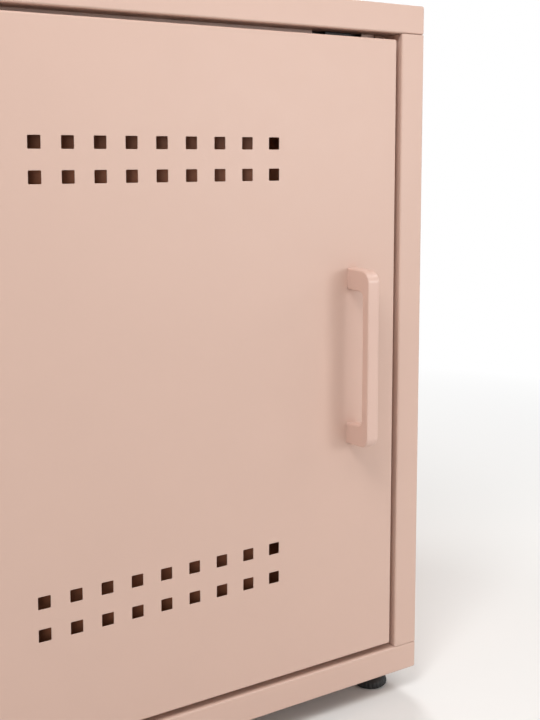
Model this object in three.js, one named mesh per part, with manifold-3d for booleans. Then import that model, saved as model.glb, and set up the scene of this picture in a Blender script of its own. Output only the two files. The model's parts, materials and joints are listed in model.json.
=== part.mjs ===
// A one-door steel locker cabinet: a casing of folded sheet, a double-skinned door with square
// perforations that turns on two pivot pins, a bow handle, a lift-out shelf, a magnetic catch and
// four levelling feet. Millimetres, +Z up, front towards -Y. The origin is the centre of the
// bounding box's bottom face. Inside the cabinet group, y = 0 is the front face of the frame.
import * as THREE from "three";
import Module from "manifold-3d";
import { mergeVertices } from "three/addons/utils/BufferGeometryUtils.js";

const wasm = await Module();
wasm.setup();

// ---------- driving dimensions ----------
const WIDTH = 490; // outside, side to side
const BODY_DEPTH = 400; // front face of the frame to the rear flanges
const HEIGHT = 600; // floor to the top of the cap
const FOOT_HEIGHT = 22; // floor to the underside of the base pan
const SHEET = 1; // steel of the casing
const FRAME_FACE = 23.5; // width of the stiles and rails round the door
const BEND = 1.6; // outside radius of a fold
const FIT = 0.3; // gap between pieces that touch
const STOP_LIP = 10; // width of the lip that the door closes against
const STOP_SPACE = 4; // door's back to the lip, filled by the bumpers
const CASING_RETURN = 18; // flanges folded inwards at the edges of the casing's panels
const BASE_RETURN = 46; // wider one that carries the feet

const DOOR_GAP = 5.5; // all round the door
const DOOR_THICKNESS = 20;
const DOOR_SHEET = 0.8;
const DOOR_RETURN = 14; // flange folded round the back of the door
const PIVOT_INSET = 8; // hinge axis from the door's edge and from its front
const PIN_RADIUS = 3;
const BUSH_WALL = 1.8;
const BUSH_FLANGE = 7; // radius
const PIN_ENGAGEMENT = 8; // of a pin in its bush's plate
const RUNNING = 0.3; // radial clearance of a pin in its bush or bracket

const STIFFENER_CLEARANCE = 18; // last column of perforations to the stiffener's wall
const STIFFENER_REACH = 26; // handle's centre line to the stiffener's other wall
const STIFFENER_FLANGE = 8;

const HOLE_PITCH = 24; // square perforations
const HOLE_SIZE = 9.4;
const HOLE_COLUMNS = 9;
const HOLE_ROWS = 2; // in each of the two groups
const GROUP_GAP = 300; // between the nearest rows of the two groups

const HANDLE_LENGTH = 147;
const HANDLE_WIDTH = 11.2;
const HANDLE_PROJECTION = 29;
const HANDLE_BAR = 8.2; // thickness of the bar, front to back
const HANDLE_LEG = 17.4; // height of a leg where it meets the door
const HANDLE_DRAFT = 0.9; // how far a leg's faces lean towards the middle
const HANDLE_CORNER = 9.5;
const HANDLE_INNER_CORNER = 5;
const HANDLE_EDGE = 1.5;
const HANDLE_INSET = 43.7; // handle's centre line from the door's free edge

const SHELF_HEIGHT = 20; // of the shelf's folded edge
const SHELF_LEVEL = 5; // slot of the shelf rails that carries the clips, counted from the bottom
const RAIL_WIDTH = 22;
const RAIL_DEPTH = 6;
const SLOT_PITCH = 45;
const SLOT_HEIGHT = 9;
const SLOT_WIDTH = 6;

const CATCH_WIDTH = 48; // between the ends of the catch's ears
const CATCH_SPACE = 2.4; // door's back to the front of the catch's case
const STRIKE_DROP = 8; // door's top edge to the middle of the strike plate
const POLE_SPAN = 10.4; // over the catch's two pole plates
const POLE_PLATE = 2;
const STRIKE_SHEET = 1;

const FOOT_RADIUS = 15;
const FOOT_STEM = 4; // M8 stem
const FOOT_INSET = 26; // stem's centre from the sides
const FOOT_SETBACK = 32; // stem's centre from the front and the rear

const SCREW = { shank: 2, length: 9, head: 4, thick: 2.2 }; // M4 pan head
const FLAT_SCREW = { shank: 2, length: 9, head: 4, sink: 2.2 }; // M4 countersunk
const BOLT = { shank: 2.5, length: 11, head: 4.8, thick: 2.6 }; // M5 pan head
const RIVET = 1.6;
const SCREW_HOLE = 0.35; // radial clearance of a screw in its hole
const ROUND = 20; // sides of a small cylinder

// ---------- sizes that follow ----------
const halfWidth = WIDTH / 2;
const openingHalf = halfWidth - FRAME_FACE;
const doorWidth = 2 * (openingHalf - DOOR_GAP);
const baseTop = FOOT_HEIGHT + FRAME_FACE;
const capBottom = HEIGHT - FRAME_FACE;
const doorBottom = baseTop + DOOR_GAP;
const doorHeight = capBottom - DOOR_GAP - doorBottom;
const doorMiddle = doorBottom + doorHeight / 2;
const stopDepth = DOOR_THICKNESS + STOP_SPACE; // front face to the stop lip
const pivotX = -doorWidth / 2 + PIVOT_INSET;
const handleX = doorWidth / 2 - HANDLE_INSET;
const handleScrewSpan = HANDLE_LENGTH - HANDLE_LEG - 2 * HANDLE_DRAFT; // between the two screws

// ---------- materials ----------
function finish(color, roughness, metalness) {
  return new THREE.MeshStandardMaterial({ color, roughness, metalness });
}
const blush = finish(0xdebcae, 0.42, 0.0);
const blushCast = finish(0xe0beb0, 0.36, 0.0);
const zinc = finish(0xb9bcbd, 0.32, 1.0);
const spring = finish(0x9c9ea0, 0.28, 1.0);
const nylon = finish(0xe9e6de, 0.5, 0.0);
const blackPlastic = finish(0x242424, 0.6, 0.0);
const rubber = finish(0xd9d4cc, 0.75, 0.0);
const magnetGrey = finish(0x3a3a3d, 0.55, 0.3);

// ---------- solids ----------
function solid(geometry) {
  const plain = geometry.index ? geometry.toNonIndexed() : geometry.clone();
  plain.deleteAttribute("normal");
  plain.deleteAttribute("uv");
  const merged = mergeVertices(plain, 1e-4);
  return new wasm.Manifold(
    new wasm.Mesh({
      numProp: 3,
      vertProperties: new Float32Array(merged.attributes.position.array),
      triVerts: new Uint32Array(merged.index.array),
    }),
  );
}

function geometryOf(made) {
  const mesh = made.getMesh();
  const geometry = new THREE.BufferGeometry();
  geometry.setAttribute("position", new THREE.BufferAttribute(mesh.vertProperties, 3));
  geometry.setIndex(new THREE.BufferAttribute(mesh.triVerts, 1));
  geometry.computeVertexNormals();
  return geometry;
}

function box(x0, x1, y0, y1, z0, z1) {
  const geometry = new THREE.BoxGeometry(x1 - x0, y1 - y0, z1 - z0);
  return solid(geometry.translate((x0 + x1) / 2, (y0 + y1) / 2, (z0 + z1) / 2));
}

// A cylinder from z0 to z1 about the vertical through x, y.
function post(x, y, z0, z1, radius, sides = ROUND) {
  const geometry = new THREE.CylinderGeometry(radius, radius, z1 - z0, sides);
  return solid(geometry.rotateX(Math.PI / 2).translate(x, y, (z0 + z1) / 2));
}

// A cylinder from y0 to y1 about the line through x, z.
function barrel(x, z, y0, y1, radius, sides = ROUND) {
  const geometry = new THREE.CylinderGeometry(radius, radius, y1 - y0, sides);
  return solid(geometry.translate(x, (y0 + y1) / 2, z));
}

function cut(body, ...tools) {
  return tools.reduce((left, tool) => left.subtract(tool), body);
}

function join(body, ...others) {
  return others.reduce((whole, other) => whole.add(other), body);
}

// A solid of revolution about +Z from a closed [radius, z] profile, listed from the bottom up.
function turned(profile, sides = ROUND) {
  const points = profile.map(([r, z]) => new THREE.Vector2(r, z));
  return solid(new THREE.LatheGeometry(points, sides).rotateX(Math.PI / 2));
}

// A slab with every edge rounded, centred in x and y, from z = 0 to its height.
function roundedSlab(width, depth, height, radius) {
  const ball = wasm.Manifold.sphere(radius, 12);
  const ends = (size) => [radius - size / 2, size / 2 - radius];
  const corners = ends(width).flatMap((x) =>
    ends(depth).flatMap((y) => ends(height).map((z) => ball.translate([x, y, z + height / 2]))),
  );
  return wasm.Manifold.hull(corners);
}

// The outline of a sheet that is folded along a path: the path is the sheet's outer face, and the
// sheet lies on the given side of it (+1 left of the direction of travel, -1 right).
function foldedOutline(path, thickness, side) {
  const steps = 4;
  const outer = path.map(([x, y]) => new THREE.Vector2(x, y));
  const directions = outer.slice(1).map((p, i) => p.clone().sub(outer[i]).normalize());
  const normal = (d) => new THREE.Vector2(-d.y, d.x).multiplyScalar(side * thickness);
  const inner = outer.map((p, i) => {
    const before = normal(directions[Math.max(i - 1, 0)]);
    const after = normal(directions[Math.min(i, directions.length - 1)]);
    const same = before.distanceTo(after) < 1e-9;
    return same ? p.clone().add(before) : p.clone().add(before).add(after);
  });
  const rounded = (line, convexSign) =>
    line.flatMap((p, i) => {
      if (i === 0 || i === line.length - 1) return [p];
      const [into, away] = [directions[i - 1], directions[i]];
      const turn = Math.sign(into.x * away.y - into.y * away.x);
      const radius = turn === convexSign ? BEND : Math.max(BEND - thickness, 0.3);
      const start = p.clone().addScaledVector(into, -radius);
      const end = p.clone().addScaledVector(away, radius);
      const centre = start.clone().add(end).sub(p);
      return Array.from({ length: steps + 1 }, (_, k) => {
        const angle = ((k / steps) * Math.PI) / 2;
        return centre
          .clone()
          .addScaledVector(start.clone().sub(centre), Math.cos(angle))
          .addScaledVector(end.clone().sub(centre), Math.sin(angle));
      });
    });
  return new THREE.Shape([...rounded(outer, side), ...rounded(inner, -side).reverse()]);
}

// A folded profile in plan, drawn from z0 to z1.
function foldedUpright(path, thickness, side, z0, z1) {
  const geometry = new THREE.ExtrudeGeometry(foldedOutline(path, thickness, side), {
    depth: z1 - z0,
    bevelEnabled: false,
  });
  return solid(geometry.translate(0, 0, z0));
}

// A pan-head screw: shank along +Z from z = 0, head below it with a cross recess.
function screwSolid({ shank, length, head, thick }) {
  const body = turned(
    [
      [0, -thick],
      [head * 0.62, -thick],
      [head * 0.9, -thick * 0.72],
      [head, -thick * 0.3],
      [head, 0],
      [shank, 0],
      [shank, length - 1],
      [shank * 0.6, length],
      [0, length],
    ],
    16,
  );
  const [arm, slot, deep] = [head * 0.5, head * 0.11, thick * 0.55];
  const floor = -thick - 1;
  return cut(
    body,
    box(-arm, arm, -slot, slot, floor, -thick + deep),
    box(-slot, slot, -arm, arm, floor, -thick + deep),
  );
}

// A countersunk screw: its flat head's face is at z = 0 and its shank runs along +Z.
function flatScrewSolid({ shank, length, head, sink }) {
  const body = turned(
    [
      [0, 0],
      [head, 0],
      [shank, sink],
      [shank, length - 1],
      [shank * 0.6, length],
      [0, length],
    ],
    16,
  );
  const [arm, slot, deep] = [head * 0.5, head * 0.11, sink * 0.5];
  return cut(body, box(-arm, arm, -slot, slot, -1, deep), box(-slot, slot, -arm, arm, -1, deep));
}

function mesh(name, made, material, parent, position = [0, 0, 0], rotation = [0, 0, 0]) {
  const piece = new THREE.Mesh(geometryOf(made), material);
  piece.name = name;
  piece.position.set(...position);
  piece.rotation.set(...rotation);
  parent.add(piece);
  return piece;
}

const HEAD_DOWN = [0, 0, 0]; // a screw's shank along +Z
const HEAD_UP = [Math.PI, 0, 0]; // along -Z
const HEAD_BACK = [Math.PI / 2, 0, 0]; // along -Y
const HEAD_FRONT = [-Math.PI / 2, 0, 0]; // along +Y
const SIDES = [
  ["left", -1],
  ["right", 1],
];

// ---------- casing ----------
const cabinet = new THREE.Group();
const flangeBoltX = halfWidth - CASING_RETURN / 2 - 1;
const flangeBoltY = [70, BODY_DEPTH - 70];
const backScrewZ = [baseTop + 60, capBottom - 60];
const backScrewX = halfWidth - 12;
const backPanelFront = BODY_DEPTH - 2 * SHEET - FIT;
const catchX = [handleX - CATCH_WIDTH / 2, handleX + CATCH_WIDTH / 2];
const catchScrewX = [catchX[0] + 6, catchX[1] - 6];
const catchScrewY = stopDepth + 12;
const catchFace = DOOR_THICKNESS + CATCH_SPACE;

// A dimpled hole through the rear flange and the back panel, for a flat-headed screw.
function countersink(x, z) {
  const { shank, head, sink } = FLAT_SCREW;
  const hole = turned([
    [0, -1],
    [head + SCREW_HOLE + shank / sink, -1],
    [shank + SCREW_HOLE, sink],
    [shank + SCREW_HOLE, sink + 3],
    [0, sink + 3],
  ]);
  return hole.rotate([90, 0, 0]).translate([x, BODY_DEPTH, z]);
}

// Top cap: a tray turned upside down, with flanges folded inwards round its lower edge and a stop
// lip behind the door.
{
  const inner = halfWidth - SHEET;
  const plateHoles = flangeBoltY.flatMap((y) =>
    SIDES.map(([, s]) => post(s * flangeBoltX, y, -1, SHEET + 1, BOLT.shank + SCREW_HOLE)),
  );
  const lipHalf = openingHalf - STOP_LIP - 1;
  const rearOfReturn = stopDepth + SHEET;
  const tabRear = catchScrewY + 8; // a tab behind the front return carries the catch
  let cap = roundedSlab(WIDTH, BODY_DEPTH, FRAME_FACE, BEND).translate([0, BODY_DEPTH / 2, 0]);
  cap = cut(
    cap,
    box(-inner, inner, SHEET, BODY_DEPTH - SHEET, SHEET, FRAME_FACE - SHEET),
    box(
      -halfWidth + CASING_RETURN,
      halfWidth - CASING_RETURN,
      rearOfReturn,
      BODY_DEPTH - CASING_RETURN,
      -1,
      SHEET + 1,
    ),
  );
  cap = join(
    cap,
    box(-lipHalf, lipHalf, stopDepth, rearOfReturn, -STOP_LIP, SHEET / 2),
    box(catchX[0] - 2, catchX[1] + 2, rearOfReturn - 0.5, tabRear, 0, SHEET),
  );
  cap = cut(
    cap,
    box(catchX[0] - 1, catchX[1] + 1, stopDepth - 1, rearOfReturn + 1, -STOP_LIP - 1, 0),
    post(pivotX, PIVOT_INSET, -1, SHEET + 1, PIN_RADIUS + BUSH_WALL + FIT),
    ...catchScrewX.map((x) => post(x, catchScrewY, -1, SHEET + 1, SCREW.shank + SCREW_HOLE)),
    ...plateHoles,
  );
  mesh("top_cap", cap, blush, cabinet, [0, 0, capBottom]);
}

// Base pan: its sheet is the cabinet's floor, and its lower flanges carry the feet.
const footCentres = SIDES.flatMap(([side, s]) => [
  ["front_" + side, s * (halfWidth - FOOT_INSET), FOOT_SETBACK],
  ["rear_" + side, s * (halfWidth - FOOT_INSET), BODY_DEPTH - FOOT_SETBACK],
]);
{
  const inner = halfWidth - SHEET;
  let pan = roundedSlab(WIDTH, BODY_DEPTH, FRAME_FACE, BEND).translate([0, BODY_DEPTH / 2, 0]);
  pan = cut(
    pan,
    box(-inner, inner, SHEET, BODY_DEPTH - SHEET, SHEET, FRAME_FACE - SHEET),
    box(
      -halfWidth + BASE_RETURN,
      halfWidth - BASE_RETURN,
      CASING_RETURN,
      BODY_DEPTH - CASING_RETURN,
      -1,
      SHEET + 1,
    ),
    ...footCentres.map(([, x, y]) => post(x, y, -1, SHEET + 1, FOOT_STEM + 0.5)),
    ...flangeBoltY.flatMap((y) =>
      SIDES.map(([, s]) => {
        const radius = BOLT.shank + SCREW_HOLE;
        return post(s * flangeBoltX, y, FRAME_FACE - SHEET - 1, FRAME_FACE + 1, radius);
      }),
    ),
    post(pivotX, PIVOT_INSET, FRAME_FACE - SHEET - 1, FRAME_FACE + 1, PIN_RADIUS + BUSH_WALL + FIT),
  );
  mesh("base_pan", pan, blush, cabinet, [0, 0, FOOT_HEIGHT]);
}

// Side panels: stop lip, return, stile, web and rear flange are one folded sheet, with a flange
// at the top and the bottom that is bolted to the cap and the base.
const sideBottom = baseTop + FIT;
const sideTop = capBottom - FIT;
for (const [name, s] of SIDES) {
  const path = [
    [s * (openingHalf - STOP_LIP), stopDepth],
    [s * openingHalf, stopDepth],
    [s * openingHalf, 0],
    [s * halfWidth, 0],
    [s * halfWidth, BODY_DEPTH],
    [s * (halfWidth - CASING_RETURN), BODY_DEPTH],
  ];
  const flange = (z) =>
    box(
      Math.min(s * (halfWidth - CASING_RETURN), s * (halfWidth - SHEET / 2)),
      Math.max(s * (halfWidth - CASING_RETURN), s * (halfWidth - SHEET / 2)),
      stopDepth + 12,
      backPanelFront - 8,
      z,
      z + SHEET,
    );
  let panel = foldedUpright(path, SHEET, s, sideBottom, sideTop);
  panel = join(panel, flange(sideBottom), flange(sideTop - SHEET));
  panel = cut(
    panel,
    ...flangeBoltY.flatMap((y) =>
      [sideBottom, sideTop - SHEET].map((z) => {
        const radius = BOLT.shank + SCREW_HOLE;
        return post(s * flangeBoltX, y, z - 1, z + SHEET + 1, radius);
      }),
    ),
    ...backScrewZ.map((z) => countersink(s * backScrewX, z)),
  );
  mesh("side_panel_" + name, panel, blush, cabinet);
}

// Back panel, inside the rear flanges, with two keyholes for hanging or anchoring it to a wall.
{
  const inner = halfWidth - SHEET - FIT;
  const [keyX, keyZ] = [halfWidth - 70, capBottom - 50];
  const through = (x, z, radius) =>
    barrel(x, z, backPanelFront - 1, BODY_DEPTH + 1, radius);
  const keyholes = SIDES.flatMap(([, s]) => [
    through(s * keyX, keyZ, 5),
    through(s * keyX, keyZ + 9, 2.6),
    box(s * keyX - 2.6, s * keyX + 2.6, backPanelFront - 1, BODY_DEPTH + 1, keyZ, keyZ + 9),
  ]);
  let back = box(-inner, inner, backPanelFront, backPanelFront + SHEET, sideBottom, sideTop);
  back = cut(
    back,
    ...keyholes,
    ...backScrewZ.flatMap((z) => SIDES.map(([, s]) => countersink(s * backScrewX, z))),
  );
  mesh("back_panel", back, blush, cabinet);
}

// Bolts that hold the sides to the cap and the base, and screws that hold the back.
for (const [side, s] of SIDES) {
  flangeBoltY.forEach((y, i) => {
    const place = (i ? "rear_" : "front_") + side;
    const x = s * flangeBoltX;
    const bolt = screwSolid(BOLT);
    mesh("cap_bolt_" + place, bolt, zinc, cabinet, [x, y, sideTop - SHEET - FIT], HEAD_DOWN);
    mesh("base_bolt_" + place, bolt, zinc, cabinet, [x, y, sideBottom + SHEET + FIT], HEAD_UP);
  });
  backScrewZ.forEach((z, i) => {
    const place = (i ? "upper_" : "lower_") + side;
    const centre = [s * backScrewX, BODY_DEPTH, z];
    mesh("back_screw_" + place, flatScrewSolid(FLAT_SCREW), zinc, cabinet, centre, HEAD_BACK);
  });
}

// ---------- feet ----------
for (const [place, x, y] of footCentres) {
  const stemTop = FOOT_HEIGHT + SHEET + 16;
  const foot = turned(
    [
      [0, 0],
      [FOOT_RADIUS - 1, 0],
      [FOOT_RADIUS, 1],
      [FOOT_RADIUS, 5],
      [FOOT_RADIUS - 3, 8],
      [7, 10],
      [7, 15],
      [FOOT_STEM, 15],
      [FOOT_STEM, stemTop - 1],
      [FOOT_STEM - 1, stemTop],
      [0, stemTop],
    ],
    28,
  );
  mesh("levelling_foot_" + place, foot, blackPlastic, cabinet, [x, y, 0]);
  const hexagon = new THREE.CylinderGeometry(7.5, 7.5, 6.5, 6).rotateX(Math.PI / 2);
  const nut = cut(solid(hexagon), post(0, 0, -5, 5, FOOT_STEM + RUNNING));
  const nutMiddle = FOOT_HEIGHT + SHEET + FIT + 6.5 / 2;
  mesh("foot_nut_" + place, nut, zinc, cabinet, [x, y, nutMiddle]);
}

// ---------- shelf ----------
const railInner = halfWidth - SHEET - FIT; // face of a rail against the side panel
const railBottom = sideBottom + SHEET + 4;
const railTop = sideTop - SHEET - 4;
const railY = [stopDepth + 50, BODY_DEPTH - 60];
const firstSlot = railBottom + 28;
const slotCount = Math.floor((railTop - 20 - firstSlot) / SLOT_PITCH) + 1;
const clipZ = firstSlot + (Math.min(SHELF_LEVEL, slotCount) - 1) * SLOT_PITCH;
for (const [side, s] of SIDES) {
  railY.forEach((y, i) => {
    const place = (i ? "rear_" : "front_") + side;
    const face = railInner - RAIL_DEPTH;
    const path = [
      [s * railInner, y - RAIL_WIDTH / 2],
      [s * face, y - RAIL_WIDTH / 2],
      [s * face, y + RAIL_WIDTH / 2],
      [s * railInner, y + RAIL_WIDTH / 2],
    ];
    const slots = Array.from({ length: slotCount }, (_, k) => {
      const z = firstSlot + k * SLOT_PITCH;
      const [a, b] = [s * (face - 1), s * (face + SHEET + 1)].sort((p, q) => p - q);
      return box(a, b, y - SLOT_WIDTH / 2, y + SLOT_WIDTH / 2, z - SLOT_HEIGHT / 2, z + SLOT_HEIGHT / 2);
    });
    const rail = cut(foldedUpright(path, SHEET, -s, railBottom, railTop), ...slots);
    mesh("shelf_rail_" + place, rail, blush, cabinet);

    // The clip's tongue passes through the slot and hooks down behind it; its ledge holds the shelf.
    const hook = SLOT_HEIGHT / 2 + 1.4;
    const half = SLOT_WIDTH / 2 - 0.5;
    const span = (a, b) => [s * a, s * b].sort((p, q) => p - q);
    const clip = join(
      box(...span(face - 10, face - FIT), y - 7, y + 7, clipZ - 1, clipZ + 1),
      box(...span(face - 2, face - FIT), y - 7, y + 7, clipZ - 11, clipZ + 0.5),
      box(...span(face - 1, face + SHEET + 1.8), y - half, y + half, clipZ - 1, clipZ + 1),
      box(...span(face + SHEET + 0.4, face + SHEET + 1.8), y - half, y + half, clipZ - hook, clipZ + 1),
    );
    mesh("shelf_clip_" + place, clip, zinc, cabinet);
  });
}
{
  const half = railInner - RAIL_DEPTH - 1.2;
  const [front, rear] = [stopDepth + 8, backPanelFront - 4];
  const depth = rear - front;
  let shelf = roundedSlab(2 * half, depth, SHELF_HEIGHT, BEND).translate([0, (front + rear) / 2, 0]);
  shelf = cut(
    shelf,
    box(-half + SHEET, half - SHEET, front + SHEET, rear - SHEET, SHEET, SHELF_HEIGHT - SHEET),
    box(-half + SHEET, half - SHEET, front + 14, rear - 14, -1, SHEET + 1),
  );
  // The ends are cut back where the clips reach under the shelf's top sheet.
  const clipHole = railY.flatMap((y) =>
    SIDES.map(([, s]) => {
      const [a, b] = [s * (half - 12), s * (half + 1)].sort((p, q) => p - q);
      return box(a, b, y - 8.5, y + 8.5, -1, SHELF_HEIGHT - SHEET);
    }),
  );
  shelf = cut(shelf, ...clipHole);
  mesh("shelf", shelf, blush, cabinet, [0, 0, clipZ + 1 + FIT - (SHELF_HEIGHT - SHEET)]);
}

// ---------- hinge bushes, catch and bumpers ----------
{
  const flange = DOOR_GAP - FIT; // the lower bush's flange carries the door
  const barrelRadius = PIN_RADIUS + BUSH_WALL;
  const bore = PIN_RADIUS + RUNNING;
  const bush = turned([
    [bore, -6],
    [barrelRadius, -6],
    [barrelRadius, FIT],
    [BUSH_FLANGE, FIT],
    [BUSH_FLANGE, flange],
    [bore, flange],
    [bore, -6],
  ]);
  mesh("hinge_bush_lower", bush, nylon, cabinet, [pivotX, PIVOT_INSET, baseTop]);
  mesh("hinge_bush_upper", bush, nylon, cabinet, [pivotX, PIVOT_INSET, capBottom], HEAD_UP);
}
{
  // Catch: a plastic case under the cap's tab, open towards the door, that holds a magnet between
  // two pole plates. The pole plates meet the strike plate above and below its rivet.
  const [x0, x1] = catchX;
  const level = -DOOR_GAP - STRIKE_DROP; // middle of the strike plate, below the cap
  const top = -FIT;
  const outer = POLE_SPAN / 2;
  const inner = outer - POLE_PLATE;
  const low = level - outer - 2.2;
  let body = join(
    box(x0 + 11, x1 - 11, catchFace, catchScrewY + 6, low, top),
    box(x0, x1, catchScrewY - 6, catchScrewY + 6, top - 3.5, top),
  );
  body = cut(
    body,
    box(x0 + 13.5, x1 - 13.5, catchFace - 1, catchFace + 13, low + 1.8, level + outer + 0.4),
    ...catchScrewX.map((x) => post(x, catchScrewY, top - 6, 1, SCREW.shank + SCREW_HOLE)),
  );
  mesh("catch_case", body, blackPlastic, cabinet, [0, 0, capBottom]);
  const plate = (y, z0, z1) => box(x0 + 14, x1 - 14, y, catchFace + 12.5, level + z0, level + z1);
  const poleFront = DOOR_THICKNESS + FIT / 2 + STRIKE_SHEET + FIT / 2;
  const magnet = join(
    plate(catchFace + 1, -inner - 0.1, inner + 0.1),
    plate(poleFront, inner, outer),
    plate(poleFront, -outer, -inner),
  );
  mesh("catch_magnet", magnet, magnetGrey, cabinet, [0, 0, capBottom]);
  catchScrewX.forEach((x, i) => {
    const place = i ? "right" : "left";
    const z = capBottom + top - 3.5 - FIT;
    mesh("catch_screw_" + place, screwSolid(SCREW), zinc, cabinet, [x, catchScrewY, z], HEAD_DOWN);
  });
}
const bumperThick = stopDepth - DOOR_THICKNESS - 2 * FIT;
const bumperZ = [doorBottom + 60, doorBottom + doorHeight - 60];
bumperZ.forEach((z, i) => {
  const bumper = turned(
    [
      [0, 0],
      [4, 0],
      [4, bumperThick * 0.6],
      [2.6, bumperThick],
      [0, bumperThick],
    ],
    16,
  );
  const place = [openingHalf - STOP_LIP / 2, stopDepth - FIT, z];
  mesh("door_bumper_" + (i ? "upper" : "lower"), bumper, rubber, cabinet, place, HEAD_BACK);
});

// ---------- door ----------
// The door's own frame: x = 0 and z = 0 at its middle, y = 0 at its front face.
const door = new THREE.Group();
door.position.z = doorMiddle;
cabinet.add(door);
const doorHalf = doorWidth / 2;
const doorTop = doorHeight / 2;
const linerBack = DOOR_THICKNESS - DOOR_SHEET - FIT;
const linerFront = linerBack - DOOR_SHEET;
const handleScrewZ = [-handleScrewSpan / 2, handleScrewSpan / 2];
const accessRadius = 5.5;
const strikeX = handleX;
const strikeZ = doorTop - STRIKE_DROP;

// The upper hinge pin is drawn down by a tail that sticks out of a window at the door's back.
const pinX = -doorHalf + PIVOT_INSET;
const tailZ = doorTop - 52;
const tailTravel = DOOR_GAP + PIN_ENGAGEMENT - 0.5;
const windowLow = tailZ - tailTravel - 5;
const tailWindow = box(pinX - 4, pinX + 4, linerFront - 1, DOOR_THICKNESS + 1, windowLow, tailZ + 5);

// Positions along one direction of the perforations, centred on zero.
const columnX = Array.from({ length: HOLE_COLUMNS }, (_, i) => (i - (HOLE_COLUMNS - 1) / 2) * HOLE_PITCH);
const rowZ = [-1, 1].flatMap((s) =>
  Array.from({ length: HOLE_ROWS }, (_, i) => s * (GROUP_GAP / 2 + i * HOLE_PITCH)),
);

{
  // Outer skin: a tray with a flange folded round its back.
  const slab = roundedSlab(doorWidth, doorHeight, DOOR_THICKNESS, BEND);
  let skin = slab.rotate([90, 0, 0]).translate([0, DOOR_THICKNESS, 0]);
  const [x, z] = [doorHalf - DOOR_SHEET, doorTop - DOOR_SHEET];
  const [bx, bz] = [doorHalf - DOOR_RETURN, doorTop - DOOR_RETURN];
  skin = cut(
    skin,
    box(-x, x, DOOR_SHEET, DOOR_THICKNESS - DOOR_SHEET, -z, z),
    box(-bx, bx, DOOR_THICKNESS - DOOR_SHEET - 1, DOOR_THICKNESS + 1, -bz, bz),
    post(pinX, PIVOT_INSET, -doorTop - 1, -doorTop + 2, PIN_RADIUS + RUNNING),
    post(pinX, PIVOT_INSET, doorTop - 2, doorTop + 1, PIN_RADIUS + RUNNING),
    tailWindow,
    ...handleScrewZ.map((h) => barrel(handleX, h, -1, DOOR_SHEET + 1, SCREW.shank + SCREW_HOLE)),
    barrel(strikeX, strikeZ, linerBack, DOOR_THICKNESS + 1, RIVET + SCREW_HOLE, 16),
  );
  const holes = rowZ.flatMap((h) =>
    columnX.map((c) => {
      const half = HOLE_SIZE / 2;
      return box(c - half, c + half, -1, DOOR_SHEET + 1, h - half, h + half);
    }),
  );
  mesh("door_skin", cut(skin, ...holes), blush, door);
}

{
  const [x, z] = [doorHalf - DOOR_SHEET - FIT, doorTop - DOOR_SHEET - FIT];
  let liner = box(-x, x, linerFront, linerBack, -z, z);
  liner = cut(
    liner,
    ...handleScrewZ.map((h) => barrel(handleX, h, linerFront - 1, linerBack + 1, accessRadius + 0.5)),
    tailWindow,
    barrel(strikeX, strikeZ, linerFront - 1, linerBack + 1, RIVET + SCREW_HOLE, 16),
  );
  mesh("door_liner", liner, blush, door);
}
{
  // Hat-section stiffener behind the handle. One of its walls stands beside the last column of
  // perforations, and its crown backs the liner.
  const [front, crown] = [DOOR_SHEET + FIT, linerFront - FIT];
  const left = Math.max(...columnX) + STIFFENER_CLEARANCE;
  const right = handleX + STIFFENER_REACH;
  const path = [
    [left - STIFFENER_FLANGE, front + DOOR_SHEET],
    [left, front + DOOR_SHEET],
    [left, crown],
    [right, crown],
    [right, front + DOOR_SHEET],
    [right + STIFFENER_FLANGE, front + DOOR_SHEET],
  ];
  const reach = doorTop - DOOR_RETURN - 4;
  const stiffener = cut(
    foldedUpright(path, DOOR_SHEET, -1, -reach, reach),
    ...handleScrewZ.map((h) => barrel(handleX, h, crown - 4, crown + 2, accessRadius + 0.5)),
  );
  mesh("door_stiffener", stiffener, blush, door);
}

// Hinge brackets: a back plate on the door's edge with lugs for the pin.
const lug = 2.5;
const bracketX = -doorHalf + DOOR_SHEET + FIT;
const upperLugTop = doorTop - DOOR_SHEET - FIT;
const springSeat = upperLugTop - 34;
function bracket(zLow, zHigh) {
  const [y0, y1] = [DOOR_SHEET + FIT, linerFront - FIT];
  const right = pinX + 7;
  const shell = join(
    box(bracketX, bracketX + 2, y0, y1, zLow, zHigh),
    box(bracketX, right, y0, y1, zLow, zLow + lug),
    box(bracketX, right, y0, y1, zHigh - lug, zHigh),
  );
  return cut(shell, post(pinX, PIVOT_INSET, zLow - 1, zHigh + 1, PIN_RADIUS + RUNNING));
}
mesh("hinge_bracket_upper", bracket(springSeat - lug, upperLugTop), zinc, door);
mesh("hinge_bracket_lower", bracket(-upperLugTop, -upperLugTop + 24), zinc, door);

// Lower pin, fixed in its bracket by a collar.
{
  const low = -doorTop - DOOR_GAP - PIN_ENGAGEMENT + 2;
  const collar = -upperLugTop + lug + FIT;
  const pin = turned([
    [0, low],
    [PIN_RADIUS - 0.8, low],
    [PIN_RADIUS, low + 0.8],
    [PIN_RADIUS, collar],
    [PIN_RADIUS + 1.6, collar],
    [PIN_RADIUS + 1.6, collar + 3],
    [PIN_RADIUS, collar + 3],
    [PIN_RADIUS, -upperLugTop + 23],
    [0, -upperLugTop + 23],
  ]);
  mesh("hinge_pin_lower", pin, zinc, door, [pinX, PIVOT_INSET, 0]);
}
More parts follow.
